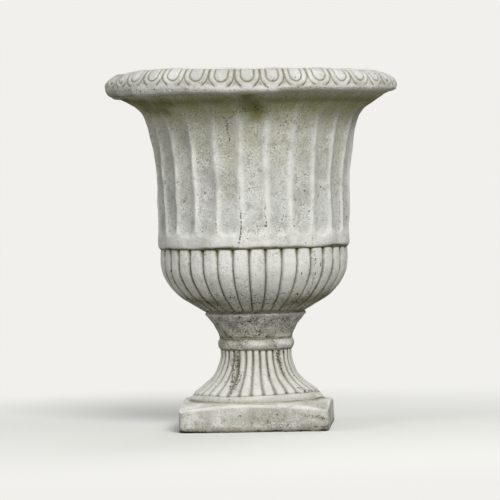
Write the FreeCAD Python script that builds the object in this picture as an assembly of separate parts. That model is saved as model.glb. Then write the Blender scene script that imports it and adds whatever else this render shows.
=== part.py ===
import FreeCAD, Part
import math
import os

os.makedirs("parts", exist_ok=True)

Vector = FreeCAD.Vector
UP = Vector(0, 0, 1)
CENTRE = Vector(0, 0, 0)
TURN = 360

# A garden urn of cast stone, in millimetres: seven cast sections on one another, bedded in lime
# mortar, with steel dowels in the slender stem and a drain bore down the middle.
# +Z is up, the origin is the middle of the plinth's underside, and the plinth's sides face X and Y.
# A phase is where the middle of a ring's first flute, reed, gadroon or egg is, in degrees from +X.

# Heights of the stone sections from the ground up, and of the bed of mortar under all but the first
PLINTH_HEIGHT = 34.8
DISC_HEIGHT = 9.2
REED_HEIGHT = 53.0
COLLAR_HEIGHT = 13.4
NECK_HEIGHT = 31.2
BOWL_HEIGHT = 79.6
BELL_HEIGHT = 192.4
RIM_HEIGHT = 28.0
BED = 1.4

# Radii that set the outline; what seats on a stone takes its radius from it and a named step
PLINTH_SIDE = 188.0
WAIST_RADIUS = 45.2
NECK_UPPER_RADIUS = 63.8
BELL_BAND_RADIUS = 121.6
RIM_RADIUS = 185.0

# Plinth: a square block whose top falls away to the corners
PLINTH_CORNER_ROUND = 4.0
WASH_MARGIN = 4.0
WASH_FALL = 7.2

# Foot: a round disc with a trumpet of convex reeds above it
DISC_MARGIN = 9.0
DISC_BATTER = 4.2
REED_LEDGE = 1.6
REED_NOSE = 2.6
REED_COUNT = 32
REED_PHASE = 3.5
REED_DEPTH_SHARE = 0.040
TRUMPET_POWER = 2.25

# Collar: a half-round ring between the foot and the neck
COLLAR_SETBACK = 0.6
COLLAR_BULGE = 3.6

# Neck: a cavetto that opens up to the bowl
NECK_STEP = 0.8
NECK_POWER = 1.7

# Bowl: a shallow round bowl of convex gadroons
BOWL_FOOT_SETBACK = 0.8
BOWL_TUCK = 3.0
BOWL_BROW = 15.0
BOWL_BROW_SETBACK = 2.0
BOWL_POWER = 2.25
BOWL_FLOOR = 24.0
BOWL_WALL = 22.0
GADROON_COUNT = 36
GADROON_PHASE = 5.3
GADROON_DEPTH_SHARE = 0.026

# Bell: a tall wall of concave flutes above a plain band, flaring out under the rim
BELL_FOOT_ROUND = 4.6
BELL_WALL = 23.0
BELL_LIP_SETBACK = 13.0
FLUTE_COUNT = 24
FLUTE_PHASE = 3.1
FLUTE_CUTTER_RADIUS = 31.2
FLUTE_DEPTH = 3.2
FLUTE_LOWEST = 14.4
FLUTE_STRAIGHT = 78.0
FLUTE_LEAN = 1.7
FLUTE_SWEEP_RADIUS = 110.0
FLUTE_SWEEP = 29.8

# Rim: a quarter-round lip, carved with eggs in U-shaped borders and with darts between them
OVOLO_RADIUS = 20.0
RIM_CHAMFER = 3.6
RIM_BREADTH = 45.0
RIM_EDGE = 3.5
EGG_COUNT = 36
EGG_PHASE = 2.3
EGG_HALF_WIDTH = 8.4
EGG_GROOVE = 1.6
EGG_REACH = 11.0
DART_REACH = 14.0
DART_POINT_REACH = 5.5
DART_HALF_WIDTH = 7.4
DART_LINE = 1.4
CARVING_DEPTH = 1.4
CARVING_LEAN = 45.0

# Drain bore, steel dowels in the stem, and the clearance that they have in their holes
DRAIN_RADIUS = 12.0
DOWEL_RADIUS = 4.0
DOWEL_BITE = 20.0
SHORT_BITE = 10.0
DOWEL_FIT = 0.3
FOOT_DOWEL_CIRCLE = 34.0
STEM_DOWEL_CIRCLE = 28.0
BOWL_DOWEL_CIRCLE = 36.0
DOWELS_IN_RING = 2

# How far the mortar is raked back from the faces of the stones
BED_RAKE = 2.5

# How far a cutting tool runs past the face that it starts from
OVERRUN = 1.0

# Levels of the undersides of the sections, and of what lies on them
FOOT_LEVEL = PLINTH_HEIGHT + BED
REED_LEVEL = FOOT_LEVEL + DISC_HEIGHT
WAIST_LEVEL = REED_LEVEL + REED_HEIGHT
COLLAR_LEVEL = WAIST_LEVEL + BED
NECK_LEVEL = COLLAR_LEVEL + COLLAR_HEIGHT + BED
BOWL_LEVEL = NECK_LEVEL + NECK_HEIGHT + BED
BELL_LEVEL = BOWL_LEVEL + BOWL_HEIGHT + BED
RIM_LEVEL = BELL_LEVEL + BELL_HEIGHT + BED
TOP_LEVEL = RIM_LEVEL + RIM_HEIGHT

# Radii that follow from the ones above
DISC_RADIUS = PLINTH_SIDE / 2 - DISC_MARGIN
REED_FOOT_RADIUS = DISC_RADIUS - DISC_BATTER - REED_LEDGE
COLLAR_FLAT_RADIUS = WAIST_RADIUS - COLLAR_SETBACK
NECK_LOWER_RADIUS = WAIST_RADIUS + NECK_STEP
BOWL_FOOT_RADIUS = NECK_UPPER_RADIUS - BOWL_FOOT_SETBACK
BOWL_RADIUS = BELL_BAND_RADIUS - BOWL_TUCK
BOWL_TOP_RADIUS = BOWL_RADIUS - BOWL_BROW_SETBACK
BELL_FOOT_RADIUS = BELL_BAND_RADIUS - BELL_FOOT_ROUND
BELL_LIP_RADIUS = RIM_RADIUS - BELL_LIP_SETBACK
MOUTH_RADIUS = RIM_RADIUS - RIM_BREADTH


def at(radius, height):
    """A point of a profile in the XZ half plane that is turned about the axis."""
    return Vector(radius, 0, height)


def polar(radius, degrees, height):
    angle = math.radians(degrees)
    return Vector(radius * math.cos(angle), radius * math.sin(angle), height)


def tilted(length, degrees):
    """A step in the XZ half plane, at an angle above the horizontal."""
    angle = math.radians(degrees)
    return Vector(length * math.cos(angle), 0, length * math.sin(angle))


def line(a, b):
    return Part.LineSegment(a, b).toShape()


def arc(a, through, b):
    return Part.Arc(a, through, b).toShape()


def curve(points):
    """A smooth curve through a few points."""
    spline = Part.BSplineCurve()
    spline.interpolate(points)
    return spline.toShape()


def round_stretch(centre, radius, first, last):
    """A round stretch of a profile between two angles: its first point, its edge, its last point."""
    angles = (first, (first + last) / 2, last)
    start, middle, end = [centre + tilted(radius, degrees) for degrees in angles]
    return start, arc(start, middle, end), end


def polygon(points):
    """The sides of a closed polygon."""
    return [line(a, b) for a, b in zip(points, points[1:] + points[:1])]


def turned(edges):
    """The solid that a closed profile sweeps about the axis."""
    return Part.Face(Part.Wire(edges)).revolve(CENTRE, UP, TURN)


def ring_of(shape, count, phase):
    """Copies of a shape that stands on the +X side, evenly round the axis from a phase on."""
    copies = []
    for number in range(count):
        placed = shape.copy()
        placed.rotate(CENTRE, UP, phase + TURN * number / count)
        copies.append(placed)
    return copies


def drain(bottom, top):
    """The tool for the drain bore from one level to another."""
    return Part.makeCylinder(DRAIN_RADIUS, top - bottom + 2 * OVERRUN, at(0, bottom - OVERRUN))


def dowels(circle, bottom, top, clearance):
    """Upright pins evenly round a circle or, with a clearance, the holes that they stand in."""
    length = top - bottom + 2 * clearance
    pin = Part.makeCylinder(DOWEL_RADIUS + clearance, length, at(circle, bottom - clearance))
    return Part.makeCompound(ring_of(pin, DOWELS_IN_RING, 0))


def foot_dowels(clearance=0):
    return dowels(FOOT_DOWEL_CIRCLE, PLINTH_HEIGHT - DOWEL_BITE, FOOT_LEVEL + DOWEL_BITE, clearance)


def stem_dowels(clearance=0):
    """They pass through the collar, from the foot into the neck."""
    return dowels(STEM_DOWEL_CIRCLE, WAIST_LEVEL - DOWEL_BITE, NECK_LEVEL + SHORT_BITE, clearance)


def bowl_dowels(clearance=0):
    neck_top = BOWL_LEVEL - BED
    return dowels(BOWL_DOWEL_CIRCLE, neck_top - SHORT_BITE, BOWL_LEVEL + SHORT_BITE, clearance)


def bed(inner, outer, stone_level):
    """The mortar under the stone whose underside is at a level, raked back at both faces."""
    bottom = stone_level - BED
    hole = Part.makeCylinder(inner + BED_RAKE, BED + 2 * OVERRUN, at(0, bottom - OVERRUN))
    return Part.makeCylinder(outer - BED_RAKE, BED, at(0, bottom)).cut(hole)


def scalloped_ring(count, phase, radius, depth_share, height):
    """A closed wire of convex lobes, each made of four chords between two grooves."""
    chord_shares = ((0.0, 1.0), (0.17, 0.28), (0.5, 0.0), (0.83, 0.28))
    points = []
    for lobe in range(count):
        for turn_share, sink_share in chord_shares:
            reach = radius * (1 - depth_share * sink_share)
            points.append(polar(reach, phase + (lobe + turn_share - 0.5) * TURN / count, height))
    return Part.makePolygon(points + points[:1])


def scalloped_solid(count, phase, depth_share, sections):
    """A smooth loft through scalloped rings given as (radius, height)."""
    wires = [scalloped_ring(count, phase, radius, depth_share, height) for radius, height in sections]
    return Part.makeLoft(wires, True, False)


def build_plinth():
    half = PLINTH_SIDE / 2
    block = Part.makeBox(PLINTH_SIDE, PLINTH_SIDE, PLINTH_HEIGHT, Vector(-half, -half, 0))
    upright = [edge for edge in block.Edges if abs(edge.tangentAt(edge.FirstParameter).z) > 0.5]
    block = block.makeFillet(PLINTH_CORNER_ROUND, upright)
    wash_radius = DISC_RADIUS + WASH_MARGIN
    slope = WASH_FALL / (half * math.sqrt(2) - wash_radius)
    wash = turned(polygon([
        at(0, 0),
        at(PLINTH_SIDE, 0),
        at(PLINTH_SIDE, PLINTH_HEIGHT - (PLINTH_SIDE - wash_radius) * slope),
        at(wash_radius, PLINTH_HEIGHT),
        at(0, PLINTH_HEIGHT),
    ]))
    plinth = block.common(wash).cut(drain(0, PLINTH_HEIGHT))
    return plinth.cut(foot_dowels(DOWEL_FIT))


def trumpet_radius(height_share):
    """The reeds' outer radius, from their noses (0) up to the waist (1)."""
    return WAIST_RADIUS + (REED_FOOT_RADIUS - WAIST_RADIUS) * (1 - height_share) ** TRUMPET_POWER


def build_foot():
    disc = turned(polygon([
        at(0, FOOT_LEVEL),
        at(DISC_RADIUS, FOOT_LEVEL),
        at(DISC_RADIUS - DISC_BATTER, REED_LEVEL),
        at(0, REED_LEVEL),
    ]))
    nose_level = REED_LEVEL + REED_NOSE
    rise = REED_HEIGHT - REED_NOSE
    noses = [(REED_FOOT_RADIUS - REED_NOSE, REED_LEVEL - OVERRUN), (REED_FOOT_RADIUS, nose_level)]
    rise_shares = (0.12, 0.28, 0.46, 0.7, 1.0)
    trumpet = [(trumpet_radius(share), nose_level + rise * share) for share in rise_shares]
    reeds = scalloped_solid(REED_COUNT, REED_PHASE, REED_DEPTH_SHARE, noses + trumpet)
    foot = disc.fuse(reeds).cut(drain(FOOT_LEVEL, WAIST_LEVEL))
    return foot.cut(foot_dowels(DOWEL_FIT)).cut(stem_dowels(DOWEL_FIT))


def build_collar():
    bottom, top = COLLAR_LEVEL, COLLAR_LEVEL + COLLAR_HEIGHT
    lower, upper = at(COLLAR_FLAT_RADIUS, bottom), at(COLLAR_FLAT_RADIUS, top)
    collar = turned([
        line(at(DRAIN_RADIUS, bottom), lower),
        arc(lower, at(COLLAR_FLAT_RADIUS + COLLAR_BULGE, (bottom + top) / 2), upper),
        line(upper, at(DRAIN_RADIUS, top)),
        line(at(DRAIN_RADIUS, top), at(DRAIN_RADIUS, bottom)),
    ])
    return collar.cut(stem_dowels(DOWEL_FIT))


def build_neck():
    bottom, top = NECK_LEVEL, NECK_LEVEL + NECK_HEIGHT
    flare = NECK_UPPER_RADIUS - NECK_LOWER_RADIUS
    rise_shares = (0.0, 0.3, 0.65, 1.0)
    cavetto = [at(NECK_LOWER_RADIUS + flare * share ** NECK_POWER, bottom + NECK_HEIGHT * share)
               for share in rise_shares]
    neck = turned([
        line(at(DRAIN_RADIUS, bottom), cavetto[0]),
        curve(cavetto),
        line(cavetto[-1], at(DRAIN_RADIUS, top)),
        line(at(DRAIN_RADIUS, top), at(DRAIN_RADIUS, bottom)),
    ])
    return neck.cut(stem_dowels(DOWEL_FIT)).cut(bowl_dowels(DOWEL_FIT))


def bowl_radius(height_share):
    """The gadroons' outer radius, from the neck (0) up to the widest ring (1)."""
    return BOWL_FOOT_RADIUS + (BOWL_RADIUS - BOWL_FOOT_RADIUS) * (1 - (1 - height_share) ** BOWL_POWER)


def build_bowl():
    top = BOWL_LEVEL + BOWL_HEIGHT
    swell = BOWL_HEIGHT - BOWL_BROW
    outer_shares = (0.0, 0.12, 0.28, 0.5, 0.75, 1.0)
    sections = [(bowl_radius(share), BOWL_LEVEL + swell * share) for share in outer_shares]
    sections.append((BOWL_TOP_RADIUS, top))
    outside = scalloped_solid(GADROON_COUNT, GADROON_PHASE, GADROON_DEPTH_SHARE, sections)
    floor = BOWL_LEVEL + BOWL_FLOOR
    depth = top - floor
    inner_shares = (0.0, 0.15, 0.4, 0.7)
    inside = [at(bowl_radius(share) - BOWL_WALL, floor + depth * share) for share in inner_shares]
    mouth = at(BOWL_TOP_RADIUS - BOWL_WALL, top)
    above = UP * OVERRUN
    hollow = turned([
        line(at(0, floor), inside[0]),
        curve(inside + [mouth]),
        line(mouth, mouth + above),
        line(mouth + above, at(0, top) + above),
        line(at(0, top) + above, at(0, floor)),
    ])
    bowl = outside.cut(hollow).cut(drain(BOWL_LEVEL, floor))
    return bowl.cut(bowl_dowels(DOWEL_FIT))


def flute_cutter():
    """A round bar with a ball at its lower end, bent outwards along the bell's flare."""
    half_width = math.sqrt(FLUTE_CUTTER_RADIUS ** 2 - (FLUTE_CUTTER_RADIUS - FLUTE_DEPTH) ** 2)
    reach = BELL_BAND_RADIUS - FLUTE_DEPTH + FLUTE_CUTTER_RADIUS
    start = at(reach, BELL_LEVEL + FLUTE_LOWEST + half_width)
    along = tilted(1, 90 - FLUTE_LEAN)
    bend = start + along * FLUTE_STRAIGHT
    ball = Part.makeSphere(FLUTE_CUTTER_RADIUS, start)
    bar = Part.makeCylinder(FLUTE_CUTTER_RADIUS, FLUTE_STRAIGHT, start, along)
    section = Part.Face(Part.Wire(Part.makeCircle(FLUTE_CUTTER_RADIUS, bend, along)))
    pivot = bend + tilted(FLUTE_SWEEP_RADIUS - FLUTE_CUTTER_RADIUS, -FLUTE_LEAN)
    hook = section.revolve(pivot, Vector(0, 1, 0), FLUTE_SWEEP)
    return ball.fuse(bar).fuse(hook)


def build_bell():
    bottom, top = BELL_LEVEL, BELL_LEVEL + BELL_HEIGHT
    foot_centre = at(BELL_FOOT_RADIUS, bottom + BELL_FOOT_ROUND)
    foot, foot_round, band = round_stretch(foot_centre, BELL_FOOT_ROUND, -90, 0)
    spread = BELL_LIP_RADIUS - BELL_BAND_RADIUS
    flare_shares = ((0.10, 0.0), (0.41, 0.004), (0.63, 0.078), (0.81, 0.215), (0.89, 0.403),
                    (0.95, 0.692), (1.0, 1.0))
    flare = [at(BELL_BAND_RADIUS + spread * out_share, bottom + BELL_HEIGHT * rise_share)
             for rise_share, out_share in flare_shares]
    inner_foot = at(BELL_FOOT_RADIUS - BELL_WALL, bottom)
    inner_radius = BELL_BAND_RADIUS - BELL_WALL
    inner_shares = ((1.0, 1.0), (0.82, 0.30), (0.55, 0.0))
    mouth, inner_bend, inner_wall = [
        at(inner_radius + (MOUTH_RADIUS - inner_radius) * out_share, bottom + BELL_HEIGHT * rise_share)
        for rise_share, out_share in inner_shares]
    bell = turned([
        line(inner_foot, foot),
        foot_round,
        line(band, flare[0]),
        curve(flare),
        line(flare[-1], mouth),
        arc(mouth, inner_bend, inner_wall),
        line(inner_wall, inner_foot),
    ])
    return bell.cut(ring_of(flute_cutter(), FLUTE_COUNT, FLUTE_PHASE))


def ovolo(radius):
    """A quarter circle about the lip's middle, from the side up to the top."""
    return round_stretch(at(RIM_RADIUS - OVOLO_RADIUS, TOP_LEVEL - OVOLO_RADIUS), radius, 0, 90)


def carving_tool(outline):
    """Pushes a closed outline square into the lip; outline makes edges with a function of (across, rise)."""
    centre = at(RIM_RADIUS - OVOLO_RADIUS, TOP_LEVEL - OVOLO_RADIUS)
    rise_step = tilted(1, 90 + CARVING_LEAN)

    def place(across, rise):
        return centre + Vector(0, across, 0) + rise_step * rise

    return Part.Face(Part.Wire(outline(place))).extrude(tilted(OVOLO_RADIUS + 2 * OVERRUN, CARVING_LEAN))


def egg_tool(half_width, reach):
    """A U that is open at the top edge of the lip, with its round end a reach below the middle."""
    top = OVOLO_RADIUS
    bend = half_width - reach
    return carving_tool(lambda place: [
        line(place(-half_width, top), place(-half_width, bend)),
        arc(place(-half_width, bend), place(0, -reach), place(half_width, bend)),
        line(place(half_width, bend), place(half_width, top)),
        line(place(half_width, top), place(-half_width, top)),
    ])


def dart_tool():
    """A thin line down from the top edge that spreads into a dart."""
    half = DART_LINE / 2
    corners = [(-half, OVOLO_RADIUS), (-half, -DART_POINT_REACH), (-DART_HALF_WIDTH, -DART_REACH),
               (DART_HALF_WIDTH, -DART_REACH), (half, -DART_POINT_REACH), (half, OVOLO_RADIUS)]
    return carving_tool(lambda place: polygon([place(*corner) for corner in corners]))


def build_rim():
    bottom, top = RIM_LEVEL, TOP_LEVEL
    side, lip, brow = ovolo(OVOLO_RADIUS)
    rim = turned([
        line(at(MOUTH_RADIUS, bottom), at(RIM_RADIUS - RIM_CHAMFER, bottom)),
        line(at(RIM_RADIUS - RIM_CHAMFER, bottom), side),
        lip,
        line(brow, at(MOUTH_RADIUS + RIM_EDGE, top)),
        line(at(MOUTH_RADIUS + RIM_EDGE, top), at(MOUTH_RADIUS, top - RIM_EDGE)),
        line(at(MOUTH_RADIUS, top - RIM_EDGE), at(MOUTH_RADIUS, bottom)),
    ])
    deep_side, deep_arc, deep_brow = ovolo(OVOLO_RADIUS - CARVING_DEPTH)
    high_side, high_arc, high_brow = ovolo(OVOLO_RADIUS + OVERRUN)
    skin = turned([deep_arc, line(deep_brow, high_brow), high_arc, line(high_side, deep_side)])
    border = egg_tool(EGG_HALF_WIDTH + EGG_GROOVE, EGG_REACH + EGG_GROOVE)
    egg_line = border.cut(egg_tool(EGG_HALF_WIDTH, EGG_REACH))
    eggs = ring_of(egg_line, EGG_COUNT, EGG_PHASE)
    darts = ring_of(dart_tool(), EGG_COUNT, EGG_PHASE + TURN / EGG_COUNT / 2)
    return rim.cut(skin.common(Part.makeCompound(eggs + darts)))


NODES = {
    "plinth": build_plinth(),
    "reeded_foot": build_foot(),
    "collar_ring": build_collar(),
    "cavetto_neck": build_neck(),
    "gadrooned_bowl": build_bowl(),
    "fluted_bell": build_bell(),
    "egg_and_dart_rim": build_rim(),
    "mortar_on_plinth": bed(DRAIN_RADIUS, DISC_RADIUS, FOOT_LEVEL).cut(foot_dowels(DOWEL_FIT)),
    "mortar_under_collar": bed(DRAIN_RADIUS, COLLAR_FLAT_RADIUS, COLLAR_LEVEL).cut(stem_dowels(DOWEL_FIT)),
    "mortar_on_collar": bed(DRAIN_RADIUS, COLLAR_FLAT_RADIUS, NECK_LEVEL).cut(stem_dowels(DOWEL_FIT)),
    "mortar_under_bowl": bed(DRAIN_RADIUS, BOWL_FOOT_RADIUS, BOWL_LEVEL).cut(bowl_dowels(DOWEL_FIT)),
    "mortar_under_bell": bed(BELL_FOOT_RADIUS - BELL_WALL, BOWL_TOP_RADIUS, BELL_LEVEL),
    "mortar_under_rim": bed(MOUTH_RADIUS, BELL_LIP_RADIUS, RIM_LEVEL),
    "foot_dowels": foot_dowels(),
    "stem_dowels": stem_dowels(),
    "bowl_dowels": bowl_dowels(),
}

for name, shape in NODES.items():
    shape.exportStep(f"parts/{name}.step")
    print(name, len(shape.Solids), round(shape.Volume), shape.isValid())
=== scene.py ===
import math

import bpy
import numpy as np
from mathutils import Matrix, Vector


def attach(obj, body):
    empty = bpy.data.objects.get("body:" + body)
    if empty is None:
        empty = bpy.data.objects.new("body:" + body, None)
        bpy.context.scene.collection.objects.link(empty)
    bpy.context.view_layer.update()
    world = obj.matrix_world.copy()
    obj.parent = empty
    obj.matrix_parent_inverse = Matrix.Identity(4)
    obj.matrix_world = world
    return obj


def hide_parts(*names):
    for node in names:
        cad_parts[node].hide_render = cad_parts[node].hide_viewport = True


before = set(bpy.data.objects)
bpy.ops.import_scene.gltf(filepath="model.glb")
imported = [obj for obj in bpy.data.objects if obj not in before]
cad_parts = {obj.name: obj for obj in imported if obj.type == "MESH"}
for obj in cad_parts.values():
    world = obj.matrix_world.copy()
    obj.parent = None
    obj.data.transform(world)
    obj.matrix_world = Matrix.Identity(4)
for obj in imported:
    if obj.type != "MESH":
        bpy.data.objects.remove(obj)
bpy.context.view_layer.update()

MM = 0.001
TURN = 2 * math.pi
# What the coats of the stone follow: hollows with dirt and painted shade, crests with wear and painted
# highlights, film and black crust
MARKS = ("hollow", "crest", "stain", "crust")

# Every outline is a closed loop of (radius, height) in millimetres: out along the underside, up the
# outside, in along the top and down the inside. Degrees are counted from +X, as in the solids, and wear is
# placed by degrees right of FRONT, the side toward the camera.
BORE = 12.0
FRONT = -86.5

# How many flutes, gadroons, reeds and eggs go round, and where the middle of the first one is. The flutes
# are turned one degree from those of the solids, as they are on this casting.
FLUTES, FLUTE_PHASE = 24, 4.1
GADROONS, GADROON_PHASE = 36, 5.3
REEDS, REED_PHASE = 32, 3.5
EGGS, EGG_PHASE = 36, 2.3
# A ring without carving is made of so many equal sectors
PLAIN_SECTORS = 12


# Camera and light

def make_camera():
    """A long lens from 4.1 m, a little right of the plinth's front and level with the bell."""
    distance, eye_height, azimuth = 4.1, 0.3115, math.radians(3.5)
    pitch, roll, aim_left = math.radians(1.214), math.radians(1.229), 0.0052
    camera = bpy.data.objects.new("camera", bpy.data.cameras.new("camera"))
    camera.data.sensor_width = 36.0
    camera.data.lens = 232.7
    camera.data.clip_end = 50.0
    back = Vector((math.sin(azimuth), -math.cos(azimuth), 0))
    right = Vector((math.cos(azimuth), math.sin(azimuth), 0))
    camera.location = back * distance + Vector((0, 0, eye_height))
    ahead = -back * math.cos(pitch) - Vector((0, 0, math.sin(pitch)))
    ahead = (ahead - right * aim_left / distance).normalized()
    rolled = Matrix.Rotation(-roll, 4, "Z").to_quaternion()
    camera.rotation_mode = "QUATERNION"
    camera.rotation_quaternion = ahead.to_track_quat("-Z", "Y") @ rolled
    bpy.context.collection.objects.link(camera)
    bpy.context.scene.camera = camera


def linear(code):
    """Linear red, green, blue and alpha of an sRGB hex colour."""
    parts = [int(code[i:i + 2], 16) / 255 for i in (1, 3, 5)]
    return (*(c / 12.92 if c <= 0.04045 else ((c + 0.055) / 1.055) ** 2.4 for c in parts), 1.0)


def node(tree, kind, inputs=None, output=0, **settings):
    """Adds a node with its settings; inputs gives each socket a value or another node's output."""
    made = tree.nodes.new(kind)
    for name, value in settings.items():
        setattr(made, name, value)
    for socket, value in (inputs or {}).items():
        if isinstance(value, bpy.types.NodeSocket):
            tree.links.new(value, made.inputs[socket])
        else:
            made.inputs[socket].default_value = value
    return made.outputs[output] if made.outputs else made


def new_tree(data):
    """The empty node tree of a material or a world."""
    data.use_nodes = True
    data.node_tree.nodes.clear()
    return data.node_tree


def make_studio():
    """A pale floor that fades into a pale surround, a soft sky from above and three large lamps."""
    surround = linear("#F1F0EC")
    sky_below, sky_above = 0.14, 0.62
    fade_start, fade_end = 0.25, 0.85
    floor_reach = 12.0
    world = bpy.data.worlds.new("studio")
    bpy.context.scene.world = world
    tree = new_tree(world)
    up = node(tree, "ShaderNodeSeparateXYZ", {0: node(tree, "ShaderNodeTexCoord", output="Generated")}, "Z")
    lift = node(tree, "ShaderNodeMapRange", {0: up, 1: -0.2, 2: 0.9, 3: sky_below, 4: sky_above})
    sky = node(tree, "ShaderNodeBackground", {0: linear("#EDF0F2"), 1: lift})
    seen = node(tree, "ShaderNodeBackground", {0: surround, 1: 1.0})
    rays = node(tree, "ShaderNodeLightPath").node.outputs
    pale = node(tree, "ShaderNodeMath", {0: rays["Is Camera Ray"], 1: rays["Is Glossy Ray"]},
                operation="MAXIMUM")
    pale = node(tree, "ShaderNodeMath", {0: pale, 1: rays["Is Transmission Ray"]}, operation="MAXIMUM")
    node(tree, "ShaderNodeOutputWorld", {0: node(tree, "ShaderNodeMixShader", {0: pale, 1: sky, 2: seen})})

    paint = bpy.data.materials.new("matt studio paint")
    tree = new_tree(paint)
    away = node(tree, "ShaderNodeVectorMath", {0: node(tree, "ShaderNodeTexCoord", output="Object")}, "Value",
                operation="LENGTH")
    fade = node(tree, "ShaderNodeMapRange", {0: away, 1: fade_start, 2: fade_end},
                interpolation_type="SMOOTHSTEP")
    # The floor looks pale, but it throws little light up, so that undersides stay dark
    watched = node(tree, "ShaderNodeLightPath", output="Is Camera Ray")
    tone = node(tree, "ShaderNodeMix", {0: watched, 6: linear("#8E8D86"), 7: linear("#E4E3DE")}, 2,
                data_type="RGBA")
    matt = node(tree, "ShaderNodeBsdfDiffuse", {0: tone})
    glow = node(tree, "ShaderNodeEmission", {0: surround, 1: 1.0})
    faded = node(tree, "ShaderNodeMath", {0: fade, 1: watched}, operation="MULTIPLY")
    shown = node(tree, "ShaderNodeMixShader", {0: faded, 1: matt, 2: glow})
    node(tree, "ShaderNodeOutputMaterial", {0: shown})
    mesh = bpy.data.meshes.new("floor")
    corners = ((-1, -1), (1, -1), (1, 1), (-1, 1))
    mesh.from_pydata([(x * floor_reach, y * floor_reach, 0) for x, y in corners], [], [(0, 1, 2, 3)])
    mesh.materials.append(paint)
    floor = bpy.data.objects.new("floor", mesh)
    bpy.context.collection.objects.link(floor)

    middle = Vector((0, 0, 0.25))
    for name, place, width, power in (
        ("key", (0.95, -2.45, 1.85), 1.3, 78.0),
        ("left fill", (-2.6, -1.6, 1.3), 1.4, 19.0),
        ("behind", (0.9, 2.4, 1.7), 1.4, 18.0),
    ):
        lamp = bpy.data.lights.new(name, "AREA")
        lamp.shape, lamp.size, lamp.energy = "DISK", width, power
        placed = bpy.data.objects.new(name, lamp)
        placed.location = place
        placed.rotation_mode = "QUATERNION"
        placed.rotation_quaternion = (middle - placed.location).to_track_quat("-Z", "Y")
        bpy.context.collection.objects.link(placed)


# Materials

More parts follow.
